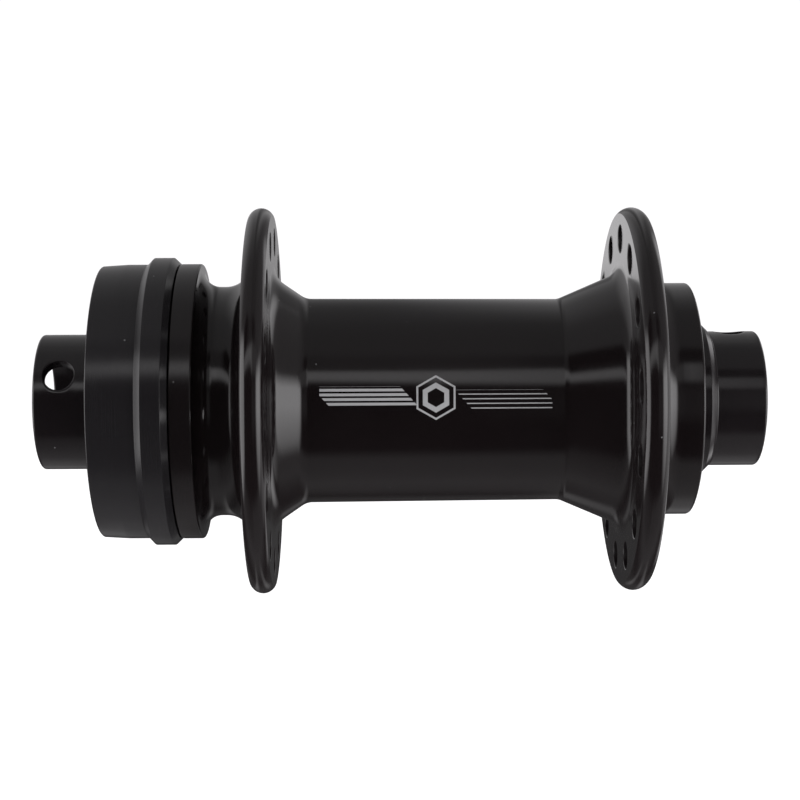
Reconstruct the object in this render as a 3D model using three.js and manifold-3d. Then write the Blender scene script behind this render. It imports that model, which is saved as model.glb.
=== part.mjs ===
// Front disc-brake bicycle hub for a 15 mm thru-axle, 100 mm between its end faces.
// Millimetres. The axle lies along X, the brake side is -X, and +Z is up.
// The origin is on the axle's centre line, midway between the two end faces.

import * as THREE from 'three';
import { mergeVertices } from 'three/addons/utils/BufferGeometryUtils.js';
import Module from 'manifold-3d';

// Overall size
const HALF_WIDTH = 50;

// Hub shell
const BARREL_R_LEFT = 14.3;
const BARREL_R_RIGHT = 14.15;
const CAVITY_R = 12.2;
const FLANGE_R = 27.05;
const FLANGE_HALF = 1.5;
const FLANGE_X_LEFT = -19.3;
const FLANGE_X_RIGHT = 32.4;
const FLANGE_FILLET = 3;
const NECK_R = 16;
const SHOULDER_R = 19.25;
const SHOULDER_X = -31;
const SHOULDER_END_X = -27.8;
const STUB_R = 17.3;
const STUB_X = -39.7;
const HOUSING_R = 16.3;
const HOUSING_X = 40.3;

// Spoke holes
const SPOKES_PER_FLANGE = 14;
const SPOKE_CIRCLE_R = 22.5;
const SPOKE_HOLE_R = 1.35;
const SPOKE_PHASE = 4.2;

// Rotor splines on the stub
const SPLINES = 28;
const SPLINE_DEPTH = 1.1;
const SPLINE_GAP = 1.5;

// Cartridge bearings, 17 x 28 x 7
const BEARING_BORE_R = 8.5;
const BEARING_OUTER_R = 14;
const BEARING_HALF = 3.5;
const BEARING_X_LEFT = -35.5;
const BEARING_X_RIGHT = 36.1;
const BALLS = 11;
const BALL_R = 1.75;
const PITCH_R = 11.25;
const GROOVE_R = 1.82;
const INNER_LAND_R = 10.3;
const OUTER_LAND_R = 12.2;

// Axle tube
const AXLE_R = 8.48;
const AXLE_BORE_R = 7.55;
const AXLE_SPACER_R = 9.7;
const AXLE_X_LEFT = -42.6;
const AXLE_X_RIGHT = 43;

// End caps
const CAP_R = 9.45;
const CAP_COLLAR_R = 10.5;
const CAP_NOSE_R = 9.9;
const CAP_SOCKET_R = 8.55;
const CROSS_HOLE_R = 2.1;
const CROSS_HOLE_INSET = 3.5;

// Clearances
const SEAT_GAP = 0.02;

// Facets around the axle
const SHELL_SIDES = 42;
const TUBE_SIDES = 28;
const RACE_SIDES = 33;
const SEAL_SIDES = 22;

const wasm = await Module();
wasm.setup();

// Radius of a polygon's corners when its flats must stay outside a circle of radius r.
function around(r, sides) {
  return r / Math.cos(Math.PI / sides);
}

// Points [axial, radius] of an arc; angles in degrees, 0 along +axial and 90 outward.
function arc(x, r, radius, from, to, steps) {
  const points = [];
  for (let i = 0; i <= steps; i += 1) {
    const a = THREE.MathUtils.degToRad(from + ((to - from) * i) / steps);
    points.push([x + radius * Math.cos(a), r + radius * Math.sin(a)]);
  }
  return points;
}

// The same geometry with shared corners only, so that it is a closed mesh.
function welded(geometry) {
  geometry.deleteAttribute('normal');
  geometry.deleteAttribute('uv');
  return mergeVertices(geometry, 1e-4);
}

function signedVolume(geometry) {
  const p = geometry.getAttribute('position');
  const index = geometry.index;
  const a = new THREE.Vector3();
  const b = new THREE.Vector3();
  const c = new THREE.Vector3();
  let volume = 0;
  for (let i = 0; i < index.count; i += 3) {
    a.fromBufferAttribute(p, index.getX(i));
    b.fromBufferAttribute(p, index.getX(i + 1));
    c.fromBufferAttribute(p, index.getX(i + 2));
    volume += a.dot(b.cross(c)) / 6;
  }
  return volume;
}

// Turns every face over when the mesh is inside out.
function facingOut(geometry) {
  if (signedVolume(geometry) < 0) {
    const index = geometry.index;
    for (let i = 0; i < index.count; i += 3) {
      const second = index.getX(i + 1);
      index.setX(i + 1, index.getX(i + 2));
      index.setX(i + 2, second);
    }
  }
  return geometry;
}

// A ring about the X axis from a loop of [axial, radius] points.
function turned(profile, sides) {
  const points = profile.map(([x, r]) => new THREE.Vector2(r, x));
  points.push(points[0].clone());
  const geometry = new THREE.LatheGeometry(points, sides);
  geometry.rotateZ(-Math.PI / 2);
  return facingOut(welded(geometry));
}

// The same loop reflected to the other end of the axle.
function mirrored(profile) {
  return profile.map(([x, r]) => [-x, r]);
}

function toManifold(geometry) {
  const vertProperties = new Float32Array(geometry.getAttribute('position').array);
  const triVerts = new Uint32Array(geometry.index.array);
  return new wasm.Manifold(new wasm.Mesh({ numProp: 3, vertProperties, triVerts }));
}

function fromManifold(solid) {
  const mesh = solid.getMesh();
  const geometry = new THREE.BufferGeometry();
  const position = new THREE.BufferAttribute(new Float32Array(mesh.vertProperties), 3);
  geometry.setAttribute('position', position);
  geometry.setIndex(new THREE.BufferAttribute(new Uint32Array(mesh.triVerts), 1));
  return geometry;
}

// Cuts a list of tool geometries out of a blank.
function cut(blank, tools) {
  let solid = toManifold(blank);
  for (const tool of tools) {
    solid = solid.subtract(toManifold(tool));
  }
  return fromManifold(solid);
}

// Angle about the axle, in degrees from straight forward (-Y) upward (+Z).
function place(geometry, degrees, radius, x) {
  const a = THREE.MathUtils.degToRad(degrees);
  geometry.translate(x, -radius * Math.cos(a), radius * Math.sin(a));
  return geometry;
}

// A drill along the axle's direction.
function axialDrill(radius, length, degrees, circle, x) {
  const drill = new THREE.CylinderGeometry(radius, radius, length, 8);
  drill.rotateZ(Math.PI / 2);
  return welded(place(drill, degrees, circle, x));
}

// A drill that enters square to the axle on one side only.
function radialDrill(radius, from, to, degrees, x, sides) {
  const length = to - from;
  const drill = new THREE.CylinderGeometry(radius, radius, length, sides);
  drill.translate(0, from + length / 2, 0);
  drill.rotateX(Math.PI - THREE.MathUtils.degToRad(degrees));
  drill.translate(x, 0, 0);
  return welded(drill);
}

// Hub shell -------------------------------------------------------------

// Full round edge of a spoke flange.
function flangeRim(x) {
  return arc(x, FLANGE_R - FLANGE_HALF, FLANGE_HALF, 180, 0, 4);
}

function shellOutside() {
  const leftFace = FLANGE_X_LEFT - FLANGE_HALF;
  const rightFace = FLANGE_X_RIGHT + FLANGE_HALF;
  return [
    [STUB_X, STUB_R - 0.4],
    [STUB_X + 0.4, STUB_R],
    [SHOULDER_X, STUB_R],
    [SHOULDER_X, SHOULDER_R - 0.2],
    [SHOULDER_X + 0.2, SHOULDER_R],
    [-28.1, SHOULDER_R],
    [SHOULDER_END_X, SHOULDER_R - 0.35],
    ...arc(SHOULDER_END_X + 2.5, NECK_R + 2.5, 2.5, 180, 270, 3),
    ...arc(leftFace - FLANGE_FILLET, NECK_R + FLANGE_FILLET, FLANGE_FILLET, 270, 360, 3),
    ...flangeRim(FLANGE_X_LEFT),
    [FLANGE_X_LEFT + FLANGE_HALF, 18.4],
    [-17.1, 16.95],
    [-13.6, 14.75],
    [-12.9, 14.45],
    [-12, BARREL_R_LEFT],
    [21.6, BARREL_R_RIGHT],
    [23, 14.5],
    [30.1, 17.5],
    [FLANGE_X_RIGHT - FLANGE_HALF, 18.6],
    ...flangeRim(FLANGE_X_RIGHT),
    ...arc(rightFace + FLANGE_FILLET, HOUSING_R + FLANGE_FILLET, FLANGE_FILLET, 180, 270, 3),
    [HOUSING_X - 0.3, HOUSING_R],
    [HOUSING_X, HOUSING_R - 0.3],
  ];
}

function shellInside() {
  const seatR = around(BEARING_OUTER_R + SEAT_GAP, SHELL_SIDES);
  const stopRight = BEARING_X_RIGHT - BEARING_HALF - SEAT_GAP;
  const stopLeft = BEARING_X_LEFT + BEARING_HALF + SEAT_GAP;
  return [
    [HOUSING_X, seatR],
    [stopRight, seatR],
    [stopRight, CAVITY_R],
    [stopLeft, CAVITY_R],
    [stopLeft, seatR],
    [STUB_X, seatR],
  ];
}

function spokeDrills(flangeX, phase) {
  const pitch = 360 / SPOKES_PER_FLANGE;
  const drills = [];
  for (let i = 0; i < SPOKES_PER_FLANGE; i += 1) {
    const angle = phase + i * pitch;
    drills.push(axialDrill(SPOKE_HOLE_R, 5, angle, SPOKE_CIRCLE_R, flangeX));
  }
  return drills;
}

function splineCutters() {
  const length = 8;
  const cutters = [];
  for (let i = 0; i < SPLINES; i += 1) {
    const cutter = new THREE.BoxGeometry(length, SPLINE_DEPTH * 2, SPLINE_GAP);
    cutter.translate(STUB_X - 0.5 + length / 2, STUB_R, 0);
    cutter.rotateX((i * 2 * Math.PI) / SPLINES);
    cutters.push(welded(cutter));
  }
  return cutters;
}

function hubShell() {
  const blank = turned([...shellOutside(), ...shellInside()], SHELL_SIDES);
  const halfPitch = 180 / SPOKES_PER_FLANGE;
  return cut(blank, [
    ...spokeDrills(FLANGE_X_RIGHT, SPOKE_PHASE),
    ...spokeDrills(FLANGE_X_LEFT, SPOKE_PHASE + halfPitch),
    ...splineCutters(),
  ]);
}

// Cover over the rotor splines: a stepped cap that is open towards the shell.
function rotorMountCover() {
  const coreR = around(STUB_R + 0.5, TUBE_SIDES);
  return turned(
    [
      [-31.12, coreR],
      [-31.12, 19.9],
      [-31.35, 20.15],
      [-34.25, 20.15],
      [-35.1, 19.2],
      [-37.6, 19.2],
      [-41.2, 19],
      [-41.4, 18.8],
      [-41.4, 11.1],
      [-40.1, 11.1],
      [-40.1, coreR],
    ],
    SHELL_SIDES,
  );
}

// Axle parts ------------------------------------------------------------

// Tube with a thicker middle that spaces the two inner races.
function axleTube() {
  const spacerLeft = BEARING_X_LEFT + BEARING_HALF + SEAT_GAP;
  const spacerRight = BEARING_X_RIGHT - BEARING_HALF - SEAT_GAP;
  return turned(
    [
      [AXLE_X_LEFT, AXLE_R - 0.25],
      [AXLE_X_LEFT + 0.25, AXLE_R],
      [spacerLeft, AXLE_R],
      [spacerLeft, AXLE_SPACER_R],
      [spacerRight, AXLE_SPACER_R],
      [spacerRight, AXLE_R],
      [AXLE_X_RIGHT - 0.25, AXLE_R],
      [AXLE_X_RIGHT, AXLE_R - 0.25],
      [AXLE_X_RIGHT, AXLE_BORE_R],
      [AXLE_X_LEFT, AXLE_BORE_R],
    ],
    TUBE_SIDES,
  );
}

// Loop of a right-hand end cap. nose is where it meets the inner race, collarEnd and
// coneEnd are where the collar and its cone stop, socketEnd is the depth of the socket
// for the axle, and groove is the middle of the O-ring groove.
function capProfile(nose, collarStart, collarEnd, coneEnd, socketEnd, groove) {
  const socketR = around(CAP_SOCKET_R, TUBE_SIDES);
  const grooveR = around(9.3, TUBE_SIDES);
  return [
    [nose, CAP_NOSE_R],
    [collarStart, CAP_NOSE_R],
    [collarStart, CAP_COLLAR_R],
    [collarEnd, CAP_COLLAR_R],
    [coneEnd, CAP_R],
    [HALF_WIDTH - 0.35, CAP_R],
    [HALF_WIDTH, CAP_R - 0.35],
    [HALF_WIDTH, AXLE_BORE_R + 0.3],
    [HALF_WIDTH - 0.3, AXLE_BORE_R],
    [socketEnd, AXLE_BORE_R],
    [socketEnd, socketR],
    [groove + 0.5, socketR],
    [groove + 0.5, grooveR],
    [groove - 0.5, grooveR],
    [groove - 0.5, socketR],
    [nose, socketR],
  ];
}

function leftEndCap() {
  const profile = mirrored(capProfile(39.02, 39.8, 40.6, 41.35, 42.9, 40.1));
  const x = CROSS_HOLE_INSET - HALF_WIDTH;
  return cut(turned(profile, TUBE_SIDES), [radialDrill(CROSS_HOLE_R, 4, 13, 23, x, 12)]);
}

function rightEndCap() {
  const profile = capProfile(39.62, 40.4, 42.2, 43.2, 43.3, 41.3);
  const x = HALF_WIDTH - CROSS_HOLE_INSET;
  return cut(turned(profile, TUBE_SIDES), [radialDrill(CROSS_HOLE_R, 4, 13, 87, x, 12)]);
}

function oRing(x) {
  return turned(arc(x, 8.94, 0.34, 0, 300, 5), SEAL_SIDES);
}

// Lip seal in the mouth of the shell, running on the nose of an end cap.
function dustSealProfile(x) {
  const lipR = around(CAP_NOSE_R + 0.07, TUBE_SIDES);
  return [
    [x - 0.2, 13.9],
    [x + 0.25, 13.9],
    [x + 0.25, 13],
    [x + 0.05, 12.7],
    [x + 0.05, 10.5],
    [x + 0.2, lipR],
    [x - 0.15, lipR + 0.1],
    [x - 0.2, 12.7],
  ];
}

// Cartridge bearings ----------------------------------------------------

function innerRace() {
  const bore = around(BEARING_BORE_R, RACE_SIDES);
  const rise = PITCH_R - INNER_LAND_R;
  const edge = THREE.MathUtils.radToDeg(Math.asin(rise / GROOVE_R));
  return turned(
    [
      [-BEARING_HALF, bore],
      [-BEARING_HALF, INNER_LAND_R],
      ...arc(0, PITCH_R, GROOVE_R, 180 + edge, 360 - edge, 3),
      [BEARING_HALF, INNER_LAND_R],
      [BEARING_HALF, bore],
    ],
    RACE_SIDES,
  );
}

function outerRace() {
  const shift = around(PITCH_R, RACE_SIDES) - PITCH_R + 0.02;
  const rise = OUTER_LAND_R - PITCH_R - shift;
  const edge = THREE.MathUtils.radToDeg(Math.asin(rise / GROOVE_R));
  const seatR = OUTER_LAND_R + 0.35;
  const seatX = 2.75;
  return turned(
    [
      [-BEARING_HALF, BEARING_OUTER_R],
      [-BEARING_HALF, seatR],
      [-seatX, seatR],
      [-seatX, OUTER_LAND_R],
      ...arc(0, PITCH_R + shift, GROOVE_R, 180 - edge, edge, 3),
      [seatX, OUTER_LAND_R],
      [seatX, seatR],
      [BEARING_HALF, seatR],
      [BEARING_HALF, BEARING_OUTER_R],
    ],
    RACE_SIDES,
  );
}

// Flat annular seal clipped into the outer race, just clear of the inner race.
function bearingSeal(x) {
  const lipR = around(INNER_LAND_R + 0.06, SEAL_SIDES);
  return turned(
    [
      [x - 0.25, 12.4],
      [x + 0.25, 12.4],
      [x + 0.25, lipR],
      [x - 0.25, lipR],
    ],
    SEAL_SIDES,
  );
}

// Ring with one round pocket for each ball.
function cage() {
  const ring = turned(
    [
      [-2.3, around(10.5, SEAL_SIDES)],
      [-2.3, 11.95],
      [2.3, 11.95],
      [2.3, around(10.5, SEAL_SIDES)],
    ],
    SEAL_SIDES,
  );
  const pockets = [];
  for (let i = 0; i < BALLS; i += 1) {
    pockets.push(radialDrill(around(1.83, 8), 9, 13.5, (i * 360) / BALLS, 0, 8));
  }
  return cut(ring, pockets);
}

function ball() {
  return facingOut(welded(new THREE.SphereGeometry(BALL_R, 6, 5)));
}

// Materials ---------------------------------------------------------------

function finish(color, roughness, metalness) {
  return () => new THREE.MeshStandardMaterial({ color, roughness, metalness });
}

const glossBlackAnodised = finish(0x0c0c0e, 0.22, 0.9);
const satinBlackAnodised = finish(0x17171a, 0.42, 0.8);
const groundSteel = finish(0xb9bcc0, 0.18, 1);
const pressedSteel = finish(0x9a9da1, 0.35, 1);
const blackRubber = finish(0x101010, 0.75, 0);
const sealRubber = finish(0x1d2a44, 0.7, 0);

// Assembly ----------------------------------------------------------------

const hub = new THREE.Group();

function add(parent, name, geometry, material) {
  const mesh = new THREE.Mesh(geometry, material());
  mesh.name = name;
  parent.add(mesh);
  return mesh;
}

function addBearing(side, x) {
  const bearing = new THREE.Group();
  bearing.position.x = x;
  add(bearing, `${side}_bearing_inner_race`, innerRace(), groundSteel);
  add(bearing, `${side}_bearing_outer_race`, outerRace(), groundSteel);
  add(bearing, `${side}_bearing_cage`, cage(), pressedSteel);
  add(bearing, `${side}_bearing_seal_a`, bearingSeal(-3.08), sealRubber);
  add(bearing, `${side}_bearing_seal_b`, bearingSeal(3.08), sealRubber);
  for (let i = 0; i < BALLS; i += 1) {
    const name = `${side}_bearing_ball_${String(i + 1).padStart(2, '0')}`;
    const mesh = add(bearing, name, ball(), groundSteel);
    const angle = (i * 2 * Math.PI) / BALLS;
    mesh.position.set(0, -PITCH_R * Math.cos(angle), PITCH_R * Math.sin(angle));
  }
  hub.add(bearing);
}

add(hub, 'hub_shell', hubShell(), glossBlackAnodised);
add(hub, 'rotor_mount_cover', rotorMountCover(), satinBlackAnodised);
add(hub, 'axle_tube', axleTube(), satinBlackAnodised);
add(hub, 'left_end_cap', leftEndCap(), glossBlackAnodised);
add(hub, 'right_end_cap', rightEndCap(), glossBlackAnodised);
add(hub, 'left_cap_o_ring', oRing(-40.1), blackRubber);
add(hub, 'right_cap_o_ring', oRing(41.3), blackRubber);
add(hub, 'left_dust_seal', turned(mirrored(dustSealProfile(39.3)), TUBE_SIDES), blackRubber);
add(hub, 'right_dust_seal', turned(dustSealProfile(39.9), TUBE_SIDES), blackRubber);
addBearing('left', BEARING_X_LEFT);
addBearing('right', BEARING_X_RIGHT);

export default hub;
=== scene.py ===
"""Front disc-brake bicycle hub for a 15 mm thru-axle: visible model, materials, light, camera.

Lengths in the geometry helpers are millimetres; they become metres when a mesh is made.
Angles about the axle run from straight forward (-Y) upward (+Z).
"""

import math

import bmesh
import bpy
from mathutils import Matrix, Vector


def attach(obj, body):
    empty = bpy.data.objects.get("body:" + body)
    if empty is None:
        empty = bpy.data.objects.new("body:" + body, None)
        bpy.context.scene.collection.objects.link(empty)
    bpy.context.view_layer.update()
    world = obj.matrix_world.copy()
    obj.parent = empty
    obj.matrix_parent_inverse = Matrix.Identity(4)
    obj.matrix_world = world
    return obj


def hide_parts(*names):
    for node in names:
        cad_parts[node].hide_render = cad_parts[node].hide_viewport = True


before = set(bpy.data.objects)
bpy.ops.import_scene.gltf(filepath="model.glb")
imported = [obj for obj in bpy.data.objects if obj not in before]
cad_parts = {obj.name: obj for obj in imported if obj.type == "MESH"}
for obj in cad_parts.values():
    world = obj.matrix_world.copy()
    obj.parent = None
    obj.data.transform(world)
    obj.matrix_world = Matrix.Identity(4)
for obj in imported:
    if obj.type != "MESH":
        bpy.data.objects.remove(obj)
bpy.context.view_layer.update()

MM = 0.001
TAU = 2 * math.pi

# Driving sizes of the shell
SPOKES = 14
SPOKE_CIRCLE_R = 22.5
SPOKE_PHASE = math.radians(4.2)
SPOKE_PITCH = TAU / SPOKES
LEFT_FLANGE, RIGHT_FLANGE = (-20.75, -17.65), (30.75, 33.92)
BARREL_R = 14.2
STUB_R = 17.3
SPLINE_DEPTH = 1.1
SHOULDER_R = 19.25
SHOULDER_LEFT_X, SHOULDER_RIGHT_X = -30.46, -27.45
NECK_R = 16.05
HOUSING_R = 16.28
SHELL_BORE_R = 12.2
SEAT_R = 14.02
LEFT_END_X, RIGHT_END_X = -39.7, 40.3
LEFT_SEAT_X, RIGHT_SEAT_X = -31.98, 32.58

# Radii between which a flange face is left open for its spoke holes
WINDOW_LOW, WINDOW_HIGH = 20.4, 24.6

# Spoke holes: radius of the hole at each depth below a flange face, with a countersink
SPOKE_HOLE = ((0, 2.04), (0.04, 1.98), (0.16, 1.9), (0.5, 1.7), (0.9, 1.5), (1.2, 1.42))

# Cells round the shell: one window of CELLS for each spoke hole
CELLS = 14
SHELL_SIDES = SPOKES * CELLS
SHELL_PHASE = SPOKE_PHASE - SPOKE_PITCH / 2

# Axle tube and end caps
THRU_BORE_R = 7.55
AXLE_SEAT_R = 8.48
AXLE_TUBE_R = 9.35
AXLE_SHOULDER_R = 9.7
HALF_WIDTH = 50
CAP_R = 9.45
CAP_SOCKET_R = 8.55
CAP_COLLAR_R = 10.5
CROSS_HOLE_R = 2.1
CROSS_HOLE_RIM = 0.16
HOLE_CELLS = 12
CAP_SIDES = 144

# Bearings
BALLS = 11
PITCH_R = 11.25
BALL_R = 1.75
LEFT_BEARING_X, RIGHT_BEARING_X = -35.5, 36.1
BEARING_HALF = 3.5
RACE_BORE_R, RACE_OUTER_R = 8.5, 14.0
LAND_LOW_R, LAND_HIGH_R = 10.3, 12.2
SHIELD_SEAT_R = 12.55
GROOVE_R = 1.8
GROOVE_EDGE = math.degrees(math.asin((PITCH_R - LAND_LOW_R) / GROOVE_R))
SHIELD_OFFSET = 3.08
CAGE_LOW_R, CAGE_HIGH_R = 10.52, 11.93
CAGE_POCKET_R = 1.82
CAGE_CELLS = 12

# Largest distance between two points that are the same point, in millimetres
SAME = 1e-6

# Half the angle of a corner that is left as it is, because it hardly turns
NEARLY_STRAIGHT = math.radians(89.5)


# ---------------------------------------------------------------- geometry


def room(corners, i, step):
    """How far a corner's arc may reach towards the next corner: half way if that one is an arc too."""
    near, far = corners[i], corners[(i + step) % len(corners)]
    length = (Vector(far[:2]) - Vector(near[:2])).length
    return length * (0.498 if len(far) > 2 else 0.98)


def rounded(corners):
    """A closed loop of (x, r) with each corner (x, r, radius, steps) turned into an arc."""
    out = []
    count = len(corners)
    for i, corner in enumerate(corners):
        p = Vector(corner[:2])
        radius = corner[2] if len(corner) > 2 else 0
        steps = corner[3] if len(corner) > 3 else 4
        a = Vector(corners[i - 1][:2]) - p
        b = Vector(corners[(i + 1) % count][:2]) - p
        if radius <= 0 or a.length < SAME or b.length < SAME:
            out.append((p.x, p.y))
            continue
        ua, ub = a.normalized(), b.normalized()
        half = math.acos(max(-1, min(1, ua.dot(ub)))) / 2
        if half > NEARLY_STRAIGHT:
            out.append((p.x, p.y))
            continue
        reach = min(radius / math.tan(half), room(corners, i, -1), room(corners, i, 1))
        radius = reach * math.tan(half)
        centre = p + (ua + ub).normalized() * (radius / math.sin(half))
        start = p + ua * reach - centre
        turn = start.angle_signed(p + ub * reach - centre)
        for k in range(steps + 1):
            spoke = start.copy()
            spoke.rotate(Matrix.Rotation(-turn * k / steps, 2))
            out.append(tuple(centre + spoke))
    return out


def around(x, r, angle):
    """The point at a distance r from the axle, at an angle about it."""
    return Vector((x, -r * math.cos(angle), r * math.sin(angle)))


class Ring:
    """A closed profile carried round the X axis, with windows that holes can be let into."""

    def __init__(self, profile, sides, phase=0.0, radius=None):
        self.profile, self.sides, self.phase = profile, sides, phase
        self.verts, self.faces, self.open = [], [], set()
        for x, r in profile:
            for j in range(sides):
                angle = phase + TAU * j / sides
                self.verts.append(around(x, radius(x, r, angle) if radius else r, angle))

    def at(self, i, j):
        return (i % len(self.profile)) * self.sides + j % self.sides

    def window(self, rows, j0, j1):
        """Leaves a rectangle of the surface open and gives the loop round it."""
        for a, b in zip(rows, rows[1:]):
            for j in range(j0, j1):
                self.open.add((min(a, b), j % self.sides))
        loop = [self.at(rows[0], j) for j in range(j0, j1 + 1)]
        loop += [self.at(i, j1) for i in rows[1:]]
        loop += [self.at(rows[-1], j) for j in range(j1 - 1, j0 - 1, -1)]
        loop += [self.at(i, j0) for i in rows[-2:0:-1]]
        return loop

    def add_loop(self, points):
        first = len(self.verts)
        self.verts.extend(points)
        return list(range(first, first + len(points)))

    def bridge(self, loops):
        for a, b in zip(loops, loops[1:]):
            for k in range(len(a)):
                after = (k + 1) % len(a)
                self.faces.append((a[k], a[after], b[after], b[k]))

    def mesh(self, name):
        rows = len(self.profile)
        for i in range(rows):
            for j in range(self.sides):
                if (i, j) not in self.open:
                    self.faces.append(
                        (self.at(i, j), self.at(i, j + 1), self.at(i + 1, j + 1), self.at(i + 1, j))
                    )
        return make_mesh(name, self.verts, self.faces)


def make_mesh(name, verts, faces):
    """A closed, smooth mesh in metres from points in millimetres."""
    mesh = bpy.data.meshes.new(name)
    mesh.from_pydata([v * MM for v in verts], [], faces)
    bm = bmesh.new()
    bm.from_mesh(mesh)
    bmesh.ops.remove_doubles(bm, verts=bm.verts, dist=1e-7)
    bmesh.ops.recalc_face_normals(bm, faces=bm.faces)
    bm.to_mesh(mesh)
    bm.free()
    mesh.shade_smooth()
    return mesh


def make_piece(mesh, body, nodes, material, even_shading=True):
    """Puts a mesh in the scene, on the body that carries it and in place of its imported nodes."""
    piece = bpy.data.objects.new(mesh.name, mesh)
    bpy.context.scene.collection.objects.link(piece)
    mesh.materials.append(material)
    if even_shading:
        weighted = piece.modifiers.new("even_shading", "WEIGHTED_NORMAL")
        weighted.keep_sharp = True
        weighted.weight = 60
    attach(piece, body)
    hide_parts(*nodes)


def turned(name, corners, sides=144):
    """A plain turned part from its rounded profile."""
    return Ring(rounded(corners), sides).mesh(name)


def rows_between(profile, test, key):
    """Indices of the profile points that pass a test, in rising order of a key."""
    found = [i for i, p in enumerate(profile) if test(p)]
    return sorted(found, key=lambda i: key(profile[i]))


def hole_angles(n, m):
    """Evenly spaced angles that match a window of n by m cells, from its first corner."""
    count = 2 * (n + m)
    first = math.radians(270) - TAU * n / 2 / count
    return [first + TAU * k / count for k in range(count)]


def spoke_hole(ring, x_low, x_high, rows_low, rows_high, j0, cells):
    """A countersunk hole through a flange, from the face at x_low to the face at x_high."""
    centre = ring.phase + TAU * (j0 + cells / 2) / ring.sides
    angles = hole_angles(cells, len(rows_low) - 1)

    def circle(x, r):
        points = []
        for a in angles:
            along, out = r * math.cos(a), SPOKE_CIRCLE_R + r * math.sin(a)
            spin = math.atan2(along, out)
            points.append(around(x, math.hypot(along, out), centre + spin))
        return points

    def approach(loop, first):
        loops = []
        for t in (0.35, 0.7):
            points = [ring.verts[v].lerp(p, t) for v, p in zip(loop, first)]
            loops.append(ring.add_loop(points))
        return loops

    low = ring.window(rows_low, j0, j0 + cells)
    high = ring.window(rows_high, j0, j0 + cells)
    down = [circle(x_low + d, r) for d, r in SPOKE_HOLE]
    up = [circle(x_high - d, r) for d, r in reversed(SPOKE_HOLE)]
    chain = [low] + approach(low, down[0])
    chain += [ring.add_loop(points) for points in down + up]
    chain += list(reversed(approach(high, up[-1]))) + [high]
    ring.bridge(chain)


def radial_hole(ring, outer_rows, inner_rows, j0, cells, x, radius, rim):
    """A round hole let in square to the axle, through the outer and the inner wall."""
    centre = ring.phase + TAU * (j0 + cells / 2) / ring.sides
    angles = hole_angles(cells, len(outer_rows) - 1)
    outer_r = ring.profile[outer_rows[0]][1]
    inner_r = ring.profile[inner_rows[0]][1]

    def on_wall(wall_r, hole_r, sink=0.0):
        points = []
        for a in angles:
            across, along = hole_r * math.cos(a), hole_r * math.sin(a)
            height = math.sqrt(max(wall_r**2 - across**2, 0)) - sink
            spin = math.atan2(across, height)
            points.append(around(x + along, math.hypot(across, height), centre + spin))
        return points

    def approach(loop, hole_r, wall_r):
        loops = []
        for t in (0.3, 0.62, 0.86):
            points = []
            for v, a in zip(loop, angles):
                p = ring.verts[v]
                spin = math.atan2(p.z, -p.y) - centre
                spin = (spin + math.pi) % TAU - math.pi
                across = (1 - t) * spin * wall_r + t * hole_r * math.cos(a)
                along = (1 - t) * (p.x - x) + t * hole_r * math.sin(a)
                points.append(around(x + along, wall_r, centre + across / wall_r))
            loops.append(ring.add_loop(points))
        return loops

    outer = ring.window(outer_rows, j0, j0 + cells)
    inner = ring.window(inner_rows, j0, j0 + cells)
    chain = [outer] + approach(outer, radius + rim, outer_r)
    chain.append(ring.add_loop(on_wall(outer_r, radius + rim)))
    chain.append(ring.add_loop(on_wall(outer_r, radius + 0.55 * rim, 0.25 * rim)))
    chain.append(ring.add_loop(on_wall(outer_r, radius + 0.12 * rim, 0.7 * rim)))
    chain.append(ring.add_loop(on_wall(outer_r, radius, 1.2 * rim)))
    chain.append(ring.add_loop(on_wall(inner_r, radius, -0.5 * rim)))
    chain.append(ring.add_loop(on_wall(inner_r, radius + 0.4 * rim)))
    chain += list(reversed(approach(inner, radius + 0.4 * rim, inner_r))) + [inner]
    ring.bridge(chain)


# ---------------------------------------------------------------- materials


class Nodes:
    """Short calls for building a node tree."""

    def __init__(self, tree):
        self.tree = tree
        tree.nodes.clear()

    def add(self, kind, settings=None, **inputs):
        node = self.tree.nodes.new(kind)
        for key, value in (settings or {}).items():
            setattr(node, key, value)
        for key, value in inputs.items():
            self.put(node, key.replace("_", " "), value)
        return node

    def put(self, node, socket, value):
        target = node.inputs[socket]
        if isinstance(value, bpy.types.NodeSocket):
            self.tree.links.new(value, target)
        else:
            target.default_value = value

    def math(self, operation, a, b=0.0, c=0.0, clamp=False):
        node = self.add("ShaderNodeMath", {"operation": operation, "use_clamp": clamp})
        for i, value in enumerate((a, b, c)):
            self.put(node, i, value)
        return node.outputs[0]

    def ramp(self, value, low, high, from_low=0.0, from_high=1.0):
        node = self.add("ShaderNodeMapRange", {"clamp": True})
        self.put(node, 0, value)
        self.put(node, 1, from_low)
        self.put(node, 2, from_high)
        self.put(node, 3, low)
        self.put(node, 4, high)
        return node.outputs[0]

    def noise(self, vector, scale, detail=2.0, roughness=0.5):
        node = self.add("ShaderNodeTexNoise")
        self.put(node, "Vector", vector)
        self.put(node, "Scale", scale)
        self.put(node, "Detail", detail)
        self.put(node, "Roughness", roughness)
        return node.outputs[0]

    def mix(self, factor, a, b):
        node = self.add("ShaderNodeMix", {"data_type": "RGBA"})
        self.put(node, 0, factor)
        self.put(node, 6, a)
        self.put(node, 7, b)
        return node.outputs[2]


def rgb(r, g, b):
    return (r, g, b, 1.0)


DUST_GREY = rgb(0.35, 0.35, 0.36)
ETCHED_GREY = rgb(0.42, 0.42, 0.43)
FINISH_IOR = 1.5
# Specular level under painted shade: the spoke hole walls are given less shine to darken them
SHADED_SPECULAR = 0.08

# Sizes of the patterns in the metal finishes, as noise scales for coordinates in metres
BLOTCH_SCALE = 90
GRAIN_SCALE = 2600
DUST_SCALE = 420.0
DUSTY_PATCH_SCALE = 300
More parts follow.
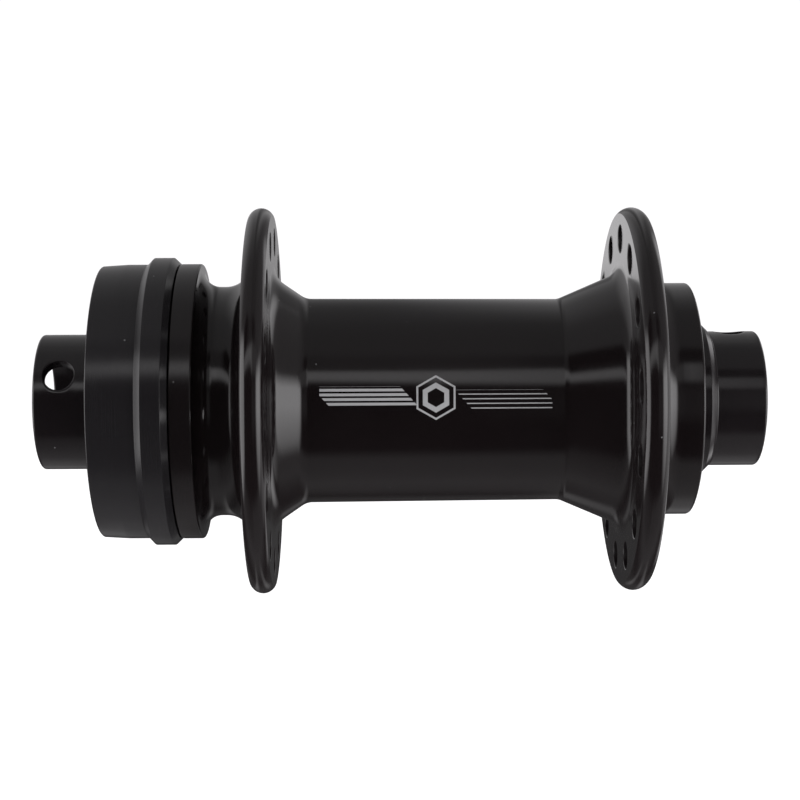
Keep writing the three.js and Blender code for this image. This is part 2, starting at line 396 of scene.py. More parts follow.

# How much rougher the finish is on a speck of dust, under painted shade, on the shoulder and where
# etched
DUST_ROUGHER = 0.3
SHADE_ROUGHER = 0.25
SATIN_ROUGHER = 0.08
ETCHED_ROUGHER = 0.3


def start_material(name):
    """A new material with its node builder and the object's own coordinates in metres."""
    material = bpy.data.materials.new(name)
    material.use_nodes = True
    n = Nodes(material.node_tree)
    return material, n, n.add("ShaderNodeTexCoord").outputs["Object"]


def add_bump(n, shader, strength, distance, height):
    bump = n.add("ShaderNodeBump")
    n.put(bump, "Strength", strength)
    n.put(bump, "Distance", distance)
    n.put(bump, "Height", height)
    n.put(shader, "Normal", bump.outputs[0])


def end_material(n, shader):
    out = n.add("ShaderNodeOutputMaterial")
    n.put(out, "Surface", shader.outputs[0])


def turned_metal(
    name,
    dark,
    light,
    rough,
    rough_spread,
    metallic=0.0,
    groove=0.0,
    groove_scale=9000,
    speckle=0.0,
    mark=None,
    satin=None,
    shade=None,
    specular=0.5,
):
    """Machined metal: fine circular tool lines, faint blotches in the finish and a few specks.

    dark and light are the ends of the colour range; groove is the depth of the tool lines in
    millimetres; mark, satin and shade give the zones that are etched, duller or given painted shade.
    """
    material, n, place = start_material(name)
    split = n.add("ShaderNodeSeparateXYZ", Vector=place).outputs
    blotch = n.noise(place, BLOTCH_SCALE, 3, 0.6)
    grain = n.noise(place, GRAIN_SCALE, 2, 0.6)
    squares = [n.math("POWER", split[i], 2) for i in (1, 2)]
    radial = n.math("SQRT", n.math("ADD", *squares))
    along = n.math("ADD", split[0], radial)
    line = n.add("ShaderNodeTexNoise", {"noise_dimensions": "1D"})
    n.put(line, "W", along)
    n.put(line, "Scale", groove_scale)
    n.put(line, "Detail", 3.0)
    lines = line.outputs[0]
    tone = n.math("ADD", n.math("MULTIPLY", blotch, 0.6), n.math("MULTIPLY", lines, 0.4))
    colour = n.mix(n.ramp(tone, 0, 1, 0.35, 0.65), dark, light)
    roughness = n.ramp(
        n.math("ADD", n.math("MULTIPLY", blotch, 0.5), n.math("MULTIPLY", grain, 0.5)),
        rough - rough_spread,
        rough + rough_spread,
        0.3,
        0.7,
    )
    if speckle:
        dust = n.add("ShaderNodeTexVoronoi", {"feature": "F1"})
        n.put(dust, "Vector", place)
        n.put(dust, "Scale", DUST_SCALE)
        near = n.ramp(dust.outputs["Distance"], 1, 0, 0.03, 0.06)
        chance = n.ramp(n.noise(place, DUSTY_PATCH_SCALE, 0), 0, 1, 0.56, 0.6)
        spot = n.math("MULTIPLY", n.math("MULTIPLY", near, chance), speckle)
        colour = n.mix(spot, colour, DUST_GREY)
        roughness = n.math("ADD", roughness, n.math("MULTIPLY", spot, DUST_ROUGHER))
    shader = n.add("ShaderNodeBsdfPrincipled")
    shader.inputs["Metallic"].default_value = metallic
    shader.inputs["IOR"].default_value = FINISH_IOR
    level = specular
    # Painted shade: the zone is given a lower specular level and more roughness, so it looks darker
    if shade:
        painted_shade_amount = shade(n, split, radial)
        level = n.ramp(painted_shade_amount, specular, SHADED_SPECULAR)
        roughness = n.math("ADD", roughness, n.math("MULTIPLY", painted_shade_amount, SHADE_ROUGHER))
    n.put(shader, "Specular IOR Level", level)
    if satin:
        duller = n.math("MULTIPLY", satin(n, split, radial), SATIN_ROUGHER)
        roughness = n.math("ADD", roughness, duller)
    if mark:
        shape = mark(n, split)
        colour = n.mix(shape, colour, ETCHED_GREY)
        etched = n.math("MULTIPLY", shape, ETCHED_ROUGHER)
        roughness = n.math("ADD", roughness, etched, clamp=True)
    n.put(shader, "Base Color", colour)
    n.put(shader, "Roughness", roughness)
    if groove:
        height = n.math("ADD", lines, n.math("MULTIPLY", grain, 0.25))
        add_bump(n, shader, 1.0, groove * MM, height)
    end_material(n, shader)
    return material


def rubber(name, dark, light, rough):
    """Moulded rubber with a fine grain and a faint bloom."""
    material, n, place = start_material(name)
    grain = n.noise(place, 1800, 4, 0.65)
    bloom = n.noise(place, 140, 2, 0.5)
    shader = n.add("ShaderNodeBsdfPrincipled")
    n.put(shader, "Base Color", n.mix(n.ramp(bloom, 0, 1, 0.3, 0.7), dark, light))
    n.put(shader, "Roughness", n.ramp(grain, rough - 0.1, rough + 0.1, 0.3, 0.7))
    add_bump(n, shader, 0.6, 0.02 * MM, grain)
    end_material(n, shader)
    return material


def etched_lines(n, place):
    """Laser-etched lines on the front of the barrel: two slanting blocks of rules, one each side
    of a pair of nested six-sided outlines."""
    centre_x, centre_up, edge = 4.6, 0.3, 0.03
    along = n.math("SUBTRACT", n.math("DIVIDE", place[0], MM), centre_x)
    spin = n.math("ARCTAN2", place[2], n.math("MULTIPLY", place[1], -1.0))
    up = n.math("SUBTRACT", n.math("MULTIPLY", spin, BARREL_R), centre_up)

    def inside(value, low, high):
        return n.math(
            "MULTIPLY",
            n.ramp(value, 0, 1, low - edge, low + edge),
            n.ramp(value, 1, 0, high - edge, high + edge),
        )

    def rules(low, high, start, end, width):
        pitch = 0.62
        phase = n.math("MODULO", n.math("SUBTRACT", up, low), pitch)
        slanted = n.math("ADD", along, n.math("MULTIPLY", up, 0.9))
        block = n.math("MULTIPLY", inside(up, low, high), inside(slanted, start, end))
        return n.math("MULTIPLY", block, inside(phase, -0.1, width))

    reach = n.math("ABSOLUTE", along)
    for degrees in (60, 120):
        turned_by = math.radians(degrees)
        leg = n.math("MULTIPLY", along, math.cos(turned_by))
        leg = n.math("ADD", leg, n.math("MULTIPLY", up, math.sin(turned_by)))
        reach = n.math("MAXIMUM", reach, n.math("ABSOLUTE", leg))
    shape = n.math("ADD", inside(reach, 2.35, 2.6), inside(reach, 1.1, 1.75))
    shape = n.math("ADD", shape, rules(-1.0, 1.5, -15.2, -3.4, 0.36))
    shape = n.math("ADD", shape, rules(-1.5, 1.0, 3.4, 15.2, 0.14))
    facing = n.ramp(n.math("COSINE", spin), 0, 1, 0.9, 0.95)
    here = n.math("MULTIPLY", inside(reach, -1.0, 15.5), facing)
    return n.math("MULTIPLY", shape, here, clamp=True)


def shoulder_zone(n, place, radial):
    """The shoulder beside the cover, which is left duller than the rest of the shell."""
    outside = n.ramp(radial, 0, 1, 17.4 * MM, 17.6 * MM)
    beside = n.ramp(place[0], 1, 0, -27.7 * MM, -27.5 * MM)
    return n.math("MULTIPLY", outside, beside)


def spoke_hole_painted_shade(n, place, radial):
    """The walls of the spoke holes, darkened with painted shade (less shine, more roughness)."""
    shape = 0.0
    for low, high in (LEFT_FLANGE, RIGHT_FLANGE):
        depth = n.math("ABSOLUTE", n.math("SUBTRACT", place[0], (low + high) / 2 * MM))
        half = (high - low) / 2
        shape = n.math("ADD", shape, n.ramp(depth, 1, 0, (half - 0.1) * MM, (half - 0.01) * MM))
    ring = n.math("ABSOLUTE", n.math("SUBTRACT", radial, SPOKE_CIRCLE_R * MM))
    return n.math("MULTIPLY", shape, n.math("LESS_THAN", ring, 2.4 * MM))


# The spoke hole walls of the shell are darkened with painted shade.
GLOSS_BLACK = turned_metal(
    "gloss_black_anodised", rgb(0.0062, 0.0044, 0.0048), rgb(0.0078, 0.0057, 0.0061), 0.13, 0.03,
    groove=0.0006, speckle=0.35, mark=etched_lines, satin=shoulder_zone,
    shade=spoke_hole_painted_shade,
)
CAP_BLACK = turned_metal(
    "cap_black_anodised", rgb(0.0080, 0.0062, 0.0070), rgb(0.0104, 0.0082, 0.0092), 0.16, 0.04,
    groove=0.001, speckle=0.3,
)
SATIN_BLACK = turned_metal(
    "satin_black_anodised", rgb(0.0108, 0.0098, 0.0110), rgb(0.0134, 0.0124, 0.0138), 0.21, 0.03,
    groove=0.0009, groove_scale=6000, speckle=0.4, specular=0.45,
)
AXLE_BLACK = turned_metal(
    "axle_black_anodised", rgb(0.008, 0.008, 0.009), rgb(0.012, 0.012, 0.013), 0.3, 0.05,
    groove=0.0015,
)
STEEL = turned_metal(
    "ground_bearing_steel", rgb(0.52, 0.53, 0.55), rgb(0.62, 0.63, 0.65), 0.16, 0.05,
    metallic=1.0, groove=0.0008,
)
BALL_STEEL = turned_metal(
    "polished_ball_steel", rgb(0.6, 0.61, 0.63), rgb(0.68, 0.69, 0.71), 0.06, 0.02, metallic=1.0,
)
CAGE_STEEL = turned_metal(
    "pressed_cage_steel", rgb(0.4, 0.4, 0.41), rgb(0.52, 0.52, 0.53), 0.36, 0.08,
    metallic=1.0, groove=0.001,
)
BLACK_RUBBER = rubber("black_rubber", rgb(0.008, 0.008, 0.008), rgb(0.016, 0.016, 0.016), 0.6)
SEAL_RUBBER = rubber("blue_seal_rubber", rgb(0.012, 0.025, 0.07), rgb(0.02, 0.04, 0.1), 0.55)


# ---------------------------------------------------------------- hub shell


def flange_face(x, rising):
    """Points across a flange face where the spoke holes are let in."""
    radii = [WINDOW_LOW + (WINDOW_HIGH - WINDOW_LOW) * k / 4 for k in range(5)]
    return [(x, r) for r in (radii if rising else reversed(radii))]


def crowned_rim(low, high, edge_r, top_r, steps=14):
    """The rounded edge of a flange: an arc between its faces, with a crisp corner at each end."""
    half, rise = (high - low) / 2, top_r - edge_r
    radius = (half**2 + rise**2) / 2 / rise
    sweep = math.asin(half / radius)
    points = []
    for k in range(1, steps):
        a = sweep * (2 * k / steps - 1)
        x = (low + high) / 2 + radius * math.sin(a)
        points.append((x, top_r - radius * (1 - math.cos(a))))
    return [(low, edge_r, 0.15, 3), *points, (high, edge_r, 0.15, 3)]


def shell_corners():
    """The shell's profile from its left end along the outside, and back through the bore."""
    left_out, left_in = LEFT_FLANGE
    right_in, right_out = RIGHT_FLANGE
    return [
        (LEFT_END_X, STUB_R, 0.35, 4),
        (-39.0, STUB_R),
        (-32.6, STUB_R),
        (-32.1, STUB_R),
        (SHOULDER_LEFT_X, STUB_R, 0.25, 3),
        (SHOULDER_LEFT_X, SHOULDER_R, 0.22, 5),
        (SHOULDER_RIGHT_X, SHOULDER_R, 0.3, 5),
        (SHOULDER_RIGHT_X, 18.6),
        (SHOULDER_RIGHT_X, NECK_R, 2.44, 14),
        (-24.63, NECK_R),
        (left_out, NECK_R, 3.5, 14),
        *flange_face(left_out, True),
        *crowned_rim(left_out, left_in, 26.05, 26.97),
        *flange_face(left_in, False),
        (left_in, 17.45, 3.1, 10),
        (-15.8, 16.14),
        (-13.15, 14.32, 2.6, 8),
        (22.2, 14.12, 2.0, 6),
        (28.8, 16.945),
        (right_in, 17.78, 2.4, 10),
        *flange_face(right_in, True),
        *crowned_rim(right_in, right_out, 26.02, 26.87),
        *flange_face(right_out, False),
        (right_out, HOUSING_R, 3.5, 14),
        (38.5, HOUSING_R),
        (RIGHT_END_X, HOUSING_R, 0.38, 6),
        (RIGHT_END_X, SEAT_R, 0.3, 4),
        (RIGHT_SEAT_X, SEAT_R, 0.1, 3),
        (RIGHT_SEAT_X, SHELL_BORE_R, 0.2, 4),
        (LEFT_SEAT_X, SHELL_BORE_R, 0.2, 4),
        (LEFT_SEAT_X, SEAT_R, 0.1, 3),
        (LEFT_END_X, SEAT_R, 0.3, 4),
    ]


def spline_radius(x, r, angle):
    """Cuts the rotor splines into the stub: seven steps a tooth, with sloping flanks."""
    stub_end_x, stub_inside_r = -32.3, 16.5
    if not (x < stub_end_x and r > stub_inside_r):
        return r
    tooth = (0, 0, 0.3, 1.0, 1.0, 1.0, 0.3)
    step = round((angle - SHELL_PHASE) / TAU * SHELL_SIDES) % len(tooth)
    return min(r, STUB_R - tooth[step] * SPLINE_DEPTH)


def build_shell():
    """The shell with its spoke holes; the left flange's holes are half a pitch round."""
    profile = rounded(shell_corners())
    ring = Ring(profile, SHELL_SIDES, SHELL_PHASE, spline_radius)

    def face_rows(x):
        near, margin = 1e-5, 1e-4

        def in_window(p):
            return abs(p[0] - x) < near and WINDOW_LOW - margin < p[1] < WINDOW_HIGH + margin

        return rows_between(profile, in_window, lambda p: p[1])

    for faces, shift in ((LEFT_FLANGE, CELLS // 2), (RIGHT_FLANGE, 0)):
        rows = [face_rows(x) for x in faces]
        for k in range(SPOKES):
            spoke_hole(ring, *faces, *rows, k * CELLS + shift, CELLS)
    return ring.mesh("hub_shell_body")


def build_cover():
    """A cup with a raised ring near its rim and a hole for the end cap in its floor."""
    rim_x, outside_x, inside_x = -30.6, -41.4, -40.1
    inner_r, outer_r, ring_r, hole_r = 17.95, 19.2, 20.13, 11.15
    corners = [
        (rim_x, inner_r, 0.3, 4),
        (rim_x, outer_r + 0.1, 0.1, 3),
        (-31.45, ring_r, 0.14, 3),
        (-34.05, ring_r, 0.12, 3),
        (-34.95, outer_r, 0.12, 3),
        (-37.8, outer_r, 3.0, 4),
        (outside_x, 18.98, 0.26, 5),
        (outside_x, hole_r, 0.3, 4),
        (inside_x, hole_r, 0.15, 3),
        (inside_x, inner_r, 0.6, 4),
    ]
    return turned("rotor_mount_cover_body", corners, 192)


# ---------------------------------------------------------------- axle and end caps


def cap_corners(nose, collar_start, collar_end, cone_end, socket_end, ring_x, hole_x):
    """A cap's profile, for the right side: a nose in the dust seal, a collar, a cone and a tube.

    Each argument is a distance from the hub's centre: ring_x is that of the O-ring's groove and
    hole_x that of the cross hole.
    """
    nose_r, groove_bottom_r, groove_half = 9.9, 9.3, 0.5
    window = [hole_x - 3.0 + 0.5 * k for k in range(13)]
    return [
        (nose, nose_r, 0.12, 3),
        (collar_start, nose_r, 0.1, 3),
        (collar_start, CAP_COLLAR_R, 0.15, 3),
        (collar_end, CAP_COLLAR_R, 0.18, 4),
        (cone_end - 0.25, CAP_R + 0.32, 0.9, 5),
        (cone_end, CAP_R, 0.3, 3),
        *[(x, CAP_R) for x in window],
        (HALF_WIDTH, CAP_R, 0.42, 7),
        (HALF_WIDTH, THRU_BORE_R, 0.35, 5),
        *[(x, THRU_BORE_R) for x in reversed(window) if x > socket_end + 0.05],
        (socket_end, THRU_BORE_R, 0.1, 3),
        (socket_end, CAP_SOCKET_R),
        (ring_x + groove_half, CAP_SOCKET_R),
        (ring_x + groove_half, groove_bottom_r, 0.15, 3),
        (ring_x - groove_half, groove_bottom_r, 0.15, 3),
        (ring_x - groove_half, CAP_SOCKET_R),
        (nose, CAP_SOCKET_R, 0.12, 3),
    ]


def build_cap(name, side, hole_degrees, hole_x, *sizes):
    """side is +1 for the right cap and -1 for the left one; the hole faces hole_degrees up."""
    corners = cap_corners(*sizes, hole_x)
    profile = [(side * x, r) for x, r in rounded(corners)]
    phase = math.radians(hole_degrees) - TAU * HOLE_CELLS / CAP_SIDES
    ring = Ring(profile, CAP_SIDES, phase)
    reach = 2.76

    def rows(radius):
        def beside_hole(p):
            return abs(p[1] - radius) < SAME and abs(abs(p[0]) - hole_x) < reach

        return rows_between(profile, beside_hole, lambda p: p[0])

    walls = rows(CAP_R), rows(THRU_BORE_R)
    radial_hole(ring, *walls, 0, 2 * HOLE_CELLS, side * hole_x, CROSS_HOLE_R, CROSS_HOLE_RIM)
    return ring.mesh(name)


def build_axle():
    """A tube with a shoulder for each bearing's inner race to stop against."""
    left_x, right_x = -42.6, 43.0
    corners = [
        (left_x, AXLE_SEAT_R, 0.3, 4),
        (LEFT_SEAT_X, AXLE_SEAT_R, 0.1, 3),
        (LEFT_SEAT_X, AXLE_SHOULDER_R, 0.25, 4),
        (-28.0, AXLE_SHOULDER_R, 0.6, 4),
        (-26.8, AXLE_TUBE_R, 0.6, 4),
        (27.4, AXLE_TUBE_R, 0.6, 4),
        (28.6, AXLE_SHOULDER_R, 0.6, 4),
        (RIGHT_SEAT_X, AXLE_SHOULDER_R, 0.25, 4),
        (RIGHT_SEAT_X, AXLE_SEAT_R, 0.1, 3),
        (right_x, AXLE_SEAT_R, 0.3, 4),
        (right_x, THRU_BORE_R, 0.2, 4),
        (left_x, THRU_BORE_R, 0.2, 4),
    ]
    return turned("axle_tube_body", corners)


def build_o_ring(name, x):
    centre_r, cord_r, steps = 8.93, 0.36, 24
    turns = [TAU * k / steps for k in range(steps)]
    profile = [(x + cord_r * math.cos(a), centre_r + cord_r * math.sin(a)) for a in turns]
    return Ring(profile, 120).mesh(name)


def build_dust_seal(name, x, side):
    """A rubber ring with a lip that points outward, beside the cap's nose."""
    corners = [
        (x - 0.2, 13.95, 0.1, 3),
        (x + 0.28, 13.95, 0.14, 4),
        (x + 0.28, 13.05, 0.12, 4),
        (x + 0.04, 12.75, 0.15, 4),
        (x + 0.04, 10.75, 0.2, 4),
        (x + 0.24, 10.15, 0.08, 4),
        (x + 0.06, 9.98, 0.06, 4),
        (x - 0.14, 10.3, 0.1, 3),
        (x - 0.2, 12.6, 0.1, 3),
    ]
    profile = [(side * a, r) for a, r in rounded(corners)]
    return Ring(profile, 144).mesh(name)


# ---------------------------------------------------------------- bearings


def groove(x, low, high, steps=12):
    """Ball groove in a race, from one land edge to the other; angles in degrees."""
    points = []
    for k in range(steps + 1):
        a = math.radians(low + (high - low) * k / steps)
        points.append((x + GROOVE_R * math.cos(a), PITCH_R + GROOVE_R * math.sin(a)))
    return points


def build_inner_race(name, x):
    left, right = x - BEARING_HALF, x + BEARING_HALF
    corners = [
        (left, RACE_BORE_R, 0.25, 4),
        (left, LAND_LOW_R, 0.15, 3),
        *groove(x, 180 + GROOVE_EDGE, 360 - GROOVE_EDGE),
        (right, LAND_LOW_R, 0.15, 3),
        (right, RACE_BORE_R, 0.25, 4),
    ]
    return turned(name, corners)


def build_outer_race(name, x):
    """The outer race has a step on each side of its groove for a shield."""
    left, right, step = x - BEARING_HALF, x + BEARING_HALF, 2.75
    corners = [
        (left, RACE_OUTER_R, 0.3, 4),
        (left, SHIELD_SEAT_R, 0.12, 3),
        (x - step, SHIELD_SEAT_R, 0.05, 2),
        (x - step, LAND_HIGH_R, 0.08, 3),
        *groove(x, 180 - GROOVE_EDGE, GROOVE_EDGE),
        (x + step, LAND_HIGH_R, 0.08, 3),
        (x + step, SHIELD_SEAT_R, 0.05, 2),
        (right, SHIELD_SEAT_R, 0.12, 3),
        (right, RACE_OUTER_R, 0.3, 4),
    ]
    return turned(name, corners)


def build_bearing_seal(name, x, out):
    """Rubber shield with a raised bead near each edge; out is the side that faces outward."""
    corners = [
        (-0.22, 12.42, 0.08, 3),
        (0.24, 12.42, 0.1, 4),
        (0.24, 12.05, 0.08, 4),
        (0.08, 11.9, 0.1, 4),
        (0.08, 11.05, 0.1, 4),
        (0.22, 10.9, 0.08, 4),
        (0.22, 10.5, 0.08, 4),
        (0.05, 10.37, 0.05, 3),
        (-0.22, 10.37, 0.08, 3),
    ]
    profile = [(x + out * a, r) for a, r in rounded(corners)]
    return Ring(profile, 132).mesh(name)


def build_cage(name, x):
    """A ring between the races with a round pocket for each ball."""
    half, reach, rim = 2.3, 2.11, 0.08
    window = [x - 2.1 + 0.7 * k for k in range(7)]
    corners = [
        (x - half, CAGE_LOW_R, 0.1, 3),
        (x - half, CAGE_HIGH_R, 0.1, 3),
        *[(a, CAGE_HIGH_R) for a in window],
        (x + half, CAGE_HIGH_R, 0.1, 3),
        (x + half, CAGE_LOW_R, 0.1, 3),
        *[(a, CAGE_LOW_R) for a in reversed(window)],
    ]
    profile = rounded(corners)
    ring = Ring(profile, BALLS * CAGE_CELLS, -TAU / BALLS / 2)

    def rows(radius):
        def beside_pocket(p):
            return abs(p[1] - radius) < SAME and abs(p[0] - x) < reach

        return rows_between(profile, beside_pocket, lambda p: p[0])

    walls = rows(CAGE_HIGH_R), rows(CAGE_LOW_R)
    for k in range(BALLS):
        radial_hole(ring, *walls, k * CAGE_CELLS, CAGE_CELLS, x, CAGE_POCKET_R, rim)
    return ring.mesh(name)


def build_ball(name, centre):
    bm = bmesh.new()
    bmesh.ops.create_icosphere(bm, subdivisions=4, radius=BALL_R * MM)
    bmesh.ops.translate(bm, verts=bm.verts, vec=centre * MM)
    mesh = bpy.data.meshes.new(name)
    bm.to_mesh(mesh)
    bm.free()
    mesh.shade_smooth()
    return mesh


def add_bearing(side, x):
    """All the pieces of one cartridge bearing."""
    node = f"{side}_bearing_"
    inner = build_inner_race(node + "inner_ring", x)
    make_piece(inner, "axle", [node + "inner_race"], STEEL)
    outer = build_outer_race(node + "outer_ring", x)
    make_piece(outer, "shell", [node + "outer_race"], STEEL)
    cage = build_cage(node + "ball_cage", x)
    make_piece(cage, f"{side}_ball_set", [node + "cage"], CAGE_STEEL)
    for letter, out in (("a", -1), ("b", 1)):
        shield = build_bearing_seal(f"{node}shield_{letter}", x + out * SHIELD_OFFSET, out)
        make_piece(shield, "shell", [f"{node}seal_{letter}"], SEAL_RUBBER)
    for i in range(BALLS):
        ball = build_ball(f"{node}steel_ball_{i + 1:02d}", around(x, PITCH_R, TAU * i / BALLS))
        nodes = [f"{node}ball_{i + 1:02d}"]
        make_piece(ball, f"{side}_ball_set", nodes, BALL_STEEL, False)


make_piece(build_shell(), "shell", ["hub_shell"], GLOSS_BLACK)
make_piece(build_cover(), "cover", ["rotor_mount_cover"], SATIN_BLACK)
make_piece(build_axle(), "axle", ["axle_tube"], AXLE_BLACK)
make_piece(
    build_cap("left_end_cap_body", -1, 23, 46.5, 39.02, 39.8, 40.6, 41.35, 42.9, 40.1),
    "left_cap", ["left_end_cap"], CAP_BLACK,
)
make_piece(
    build_cap("right_end_cap_body", 1, 84.5, 46.3, 39.62, 40.4, 42.2, 43.2, 43.3, 41.3),
    "right_cap", ["right_end_cap"], CAP_BLACK,
)
for side, x, seal_x, sign in (("left", -40.1, 39.3, -1), ("right", 41.3, 39.9, 1)):
    o_ring = build_o_ring(f"{side}_cap_rubber_ring", x)
    make_piece(o_ring, f"{side}_cap", [f"{side}_cap_o_ring"], BLACK_RUBBER)
    lip = build_dust_seal(f"{side}_lip_seal", seal_x, sign)
    make_piece(lip, "shell", [f"{side}_dust_seal"], BLACK_RUBBER)
add_bearing("left", LEFT_BEARING_X)
add_bearing("right", RIGHT_BEARING_X)


# ---------------------------------------------------------------- floor, light and camera

FLOOR_Z = -0.062
FLOOR_RADIUS = 4.0


def build_floor():
    """A round sheet of pale paper, lit evenly, below the hub."""
    bm = bmesh.new()
    bmesh.ops.create_circle(bm, cap_ends=True, segments=96, radius=FLOOR_RADIUS)
    bmesh.ops.translate(bm, verts=bm.verts, vec=(0, 0, FLOOR_Z))
    mesh = bpy.data.meshes.new("studio_floor")
    bm.to_mesh(mesh)
    bm.free()
    floor = bpy.data.objects.new("studio_floor", mesh)
    bpy.context.scene.collection.objects.link(floor)
    material, n, place = start_material("pale_paper")
    tone = n.noise(place, 6, 2)
    shader = n.add("ShaderNodeBsdfPrincipled")
    n.put(shader, "Base Color", n.mix(tone, rgb(0.86, 0.86, 0.86), rgb(0.9, 0.9, 0.9)))
    shader.inputs["Roughness"].default_value = 0.9
    shader.inputs["Emission Color"].default_value = rgb(1.0, 1.0, 1.0)
    shader.inputs["Emission Strength"].default_value = 0.8
    end_material(n, shader)
    mesh.materials.append(material)
    floor.visible_glossy = False
    floor.visible_shadow = False


# In the light functions each ramp gives a strength at each of two angles, and runs between them.


def soft_step(n, value, edge, width):
    """0 below an edge, 1 above it, with a soft change of the given width in degrees."""
    return n.ramp(value, 0, 1, edge - width / 2, edge + width / 2)


def inverse(n, value):
    return n.math("SUBTRACT", 1.0, value)


def band(n, value, low, high, width):
    """1 between two edges and 0 outside them, with soft edges."""
    above = soft_step(n, value, low, width)
    return n.math("MULTIPLY", above, inverse(n, soft_step(n, value, high, width)))


def product(n, *values):
    out = values[0]
    for value in values[1:]:
        out = n.math("MULTIPLY", out, value)
    return out


def total(n, *values):
    out = values[0]
    for value in values[1:]:
        out = n.math("ADD", out, value)
    return out


class Sky:
    """The angles, in degrees, of a direction as seen from the hub.

    climb turns about the axle from straight forward, up and over; side turns about the vertical
    from straight forward to the right; steep is the height above level; lateral is the lean to
    the right out of the plane square to the axle, and offset is its size.
    """

    def __init__(self, n):
        direction = n.add("ShaderNodeTexCoord").outputs["Generated"]
        x, y, z = n.add("ShaderNodeSeparateXYZ", Vector=direction).outputs
        front = n.math("MULTIPLY", y, -1.0)

        def degrees(operation, *values):
            return n.math("MULTIPLY", n.math(operation, *values), 180 / math.pi)

        self.climb = degrees("ARCTAN2", z, front)
        self.side = degrees("ARCTAN2", x, front)
        self.steep = degrees("ARCSINE", z)
        self.lateral = degrees("ARCSINE", x)
        self.offset = n.math("ABSOLUTE", self.lateral)


def roof_light(n, sky):
    """The tent above and behind the hub, in parts that differ from left to right."""
    climb, lateral = sky.climb, sky.lateral
    foot = n.math("SUBTRACT", climb, n.ramp(lateral, 57, 50, -34, -20))
    above_foot = n.ramp(foot, 0, 1, -3, 3)
    behind = n.ramp(climb, 0, 0.3, 95, 125)
    middle = product(n, above_foot, n.ramp(climb, 0.24, 0.18, 100, 130))
    middle = n.math("MULTIPLY", middle, n.ramp(lateral, 1, 1.3, 20, 35))
    right = product(n, behind, n.ramp(lateral, 0, 1, 0.7, 7), n.ramp(lateral, 1, 0.1, 7, 18))
    left = product(n, above_foot, n.ramp(climb, 0.06, 0.17, 90, 125))
    left = n.math("MULTIPLY", left, n.ramp(lateral, 1, 0, -5, -2.5))
    far_left = n.math("MULTIPLY", behind, n.ramp(lateral, 1, 0, -32, -14))
    level = total(n, n.ramp(lateral, 0.17, 0.03, 4, 9), n.ramp(lateral, 0, 0.26, 20, 40))
    edge = product(n, band(n, climb, 34, 50, 5), level, n.ramp(lateral, 0, 1, -34, -14))
    return total(n, middle, right, left, far_left, edge)


def low_light(n, sky):
    """Light from below the hub and from low behind it."""
    climb, lateral, offset = sky.climb, sky.lateral, sky.offset
    dip_left = n.math("MULTIPLY", n.ramp(lateral, 0.45, 0, -7, -5), n.ramp(climb, 0, 1, -100, -68))
    dip_far = n.math("MULTIPLY", n.ramp(offset, 0, 0.4, 13, 22), n.ramp(climb, 1, 0, -125, -105))
    under = n.math("MULTIPLY", band(n, climb, -152, -63, 12), n.ramp(climb, 0.03, 0.27, -136, -106))
    under = product(n, under, inverse(n, dip_left), inverse(n, dip_far))
    sides = product(n, band(n, climb, -156, -116, 16), n.ramp(offset, 0, 0.26, 5, 9.5))
    sides = product(n, sides, n.ramp(lateral, 0, 1, -13.5, -11.5), n.ramp(offset, 1, 0, 12.5, 15.5))
    back = n.ramp(climb, 0.05, 0, -150, -130)
    back_left = n.math("MULTIPLY", band(n, climb, -176, -156, 8), n.ramp(lateral, 0.15, 0, -24, -18))
    return total(n, under, sides, back, back_left)


def strip_light(n, sky):
    """A long strip above the front, along the axle, and a little brighter beside the neck."""
    climb, lateral = sky.climb, sky.lateral
    low_edge = n.ramp(lateral, 21.5, 16.5, -2, 6)
    top_edge = n.ramp(lateral, 32.2, 34.5, 3, 6.5)
    above = n.ramp(n.math("SUBTRACT", climb, low_edge), 0, 1, -3, 3)
    below = n.ramp(n.math("SUBTRACT", climb, top_edge), 1, 0, -2, 2)
    level = n.math("MULTIPLY", n.ramp(lateral, 1.3, 0.95, 3.5, 6.5), n.ramp(lateral, 1, 0.45, 9.5, 12))
    neck_lift = n.math("ADD", n.math("MULTIPLY", band(n, lateral, -6.2, -3.8, 1.4), 0.25), 1.0)
    return product(n, above, below, level, band(n, sky.side, -60, 60, 10), neck_lift)


def back_light(n, sky):
    """A panel at the right behind the hub."""
    turn = n.math("ABSOLUTE", n.math("ADD", sky.climb, 7.0))
    width = n.math("MULTIPLY", n.ramp(sky.lateral, 0, 1.1, 28, 38), n.ramp(sky.lateral, 1, 0.5, 50, 60))
    return n.math("MULTIPLY", width, n.ramp(turn, 0, 1, 129, 145))


def front_light(n, sky):
    """A faint glow straight ahead, towards the right."""
    glow = n.math("MULTIPLY", band(n, sky.climb, -20, 12, 14), n.ramp(sky.lateral, 0, 0.15, 4, 12))
    return n.math("MULTIPLY", glow, band(n, sky.side, -40, 40, 10))


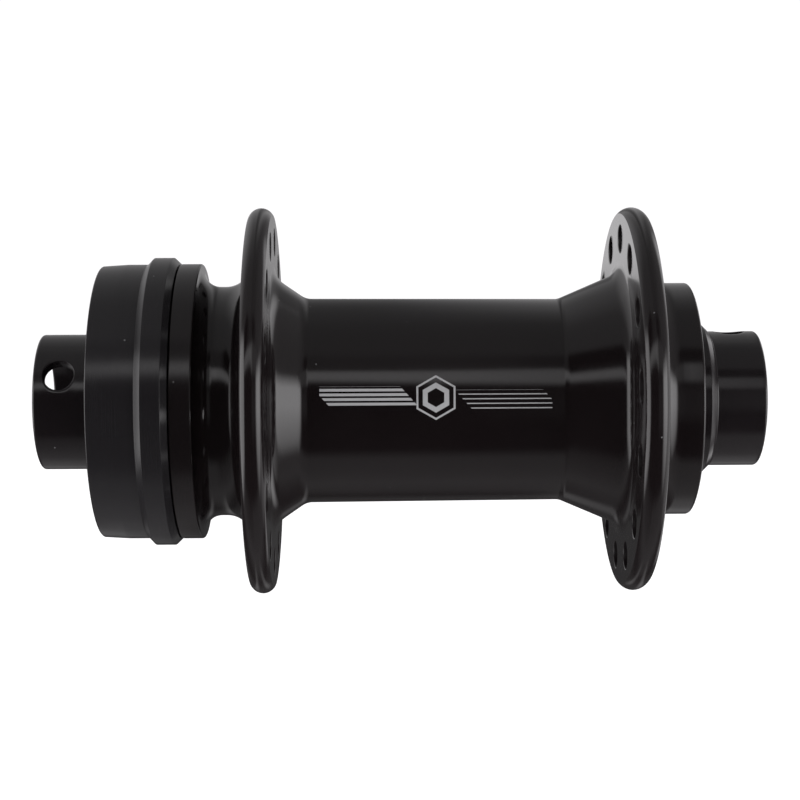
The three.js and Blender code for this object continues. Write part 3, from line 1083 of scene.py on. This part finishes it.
def box_lights(n, sky):
    """A bright soft box on each side; the top of the left one slants."""
    side, steep, lateral = sky.side, sky.steep, sky.lateral
    box_top = n.math("SUBTRACT", steep, n.ramp(side, 17, 30, -100, -62))
    left = product(n, n.ramp(box_top, 2.75, 0, -4, 4), n.ramp(steep, 0, 1, -37, -22))
    left = product(n, left, soft_step(n, side, -105, 8), n.ramp(lateral, 1, 0, -61, -53))
    right = product(n, n.ramp(lateral, 0, 1, 38, 50), n.ramp(side, 1, 0.35, 77, 85))
    right = n.math("MULTIPLY", right, inverse(n, soft_step(n, side, 118, 10)))
    right = product(n, right, n.ramp(steep, 0, 1, -46, -26), n.ramp(steep, 1, 0, 9.5, 19.5))
    right = n.math("MULTIPLY", right, n.ramp(steep, 2.2, 3.9, -26, -4))
    return n.math("MAXIMUM", left, right)


def build_world():
    """A white backdrop to the camera; to the hub, a dark studio with soft lights round it."""
    backdrop, ambient = 1.05, 0.004
    world = bpy.data.worlds.new("studio")
    bpy.context.scene.world = world
    world.use_nodes = True
    n = Nodes(world.node_tree)
    sky = Sky(n)
    horizon = n.math(
        "MULTIPLY", band(n, sky.climb, 168, 177, 3), n.ramp(sky.lateral, 0.95, 0.36, -8, 3)
    )
    light = total(n, roof_light(n, sky), low_light(n, sky), strip_light(n, sky), back_light(n, sky))
    light = n.math("ADD", n.math("MAXIMUM", light, horizon), front_light(n, sky))
    light = n.math("ADD", n.math("MAXIMUM", light, box_lights(n, sky)), ambient)
    is_camera = n.add("ShaderNodeLightPath").outputs["Is Camera Ray"]
    seen = n.math("MULTIPLY", is_camera, backdrop)
    unseen = n.math("MULTIPLY", light, inverse(n, is_camera))
    background = n.add("ShaderNodeBackground")
    background.inputs["Color"].default_value = rgb(1.0, 0.985, 1.0)
    n.put(background, "Strength", n.math("ADD", seen, unseen))
    out = n.add("ShaderNodeOutputWorld")
    n.put(out, "Surface", background.outputs[0])


def build_camera():
    """A long lens 250 mm from the hub, level with the axle and turned slightly to the brake side."""
    distance, yaw, roll = 0.25, 0.0134, 0.0058
    data = bpy.data.cameras.new("camera")
    data.lens, data.sensor_width = 79.8, 36.0
    data.clip_start, data.clip_end = 0.01, 20.0
    camera = bpy.data.objects.new("camera", data)
    bpy.context.scene.collection.objects.link(camera)
    place = Vector((-math.sin(yaw), -math.cos(yaw), 0)) * distance
    back = place.normalized()
    across = Vector((0, 0, 1)).cross(back)
    up = back.cross(across)
    right = across * math.cos(roll) - up * math.sin(roll)
    top = across * math.sin(roll) + up * math.cos(roll)
    turn = Matrix((right, top, back)).transposed().to_4x4()
    camera.matrix_world = Matrix.Translation(place) @ turn
    bpy.context.scene.camera = camera


build_floor()
build_world()
build_camera()
bpy.context.scene.view_settings.view_transform = "Standard"
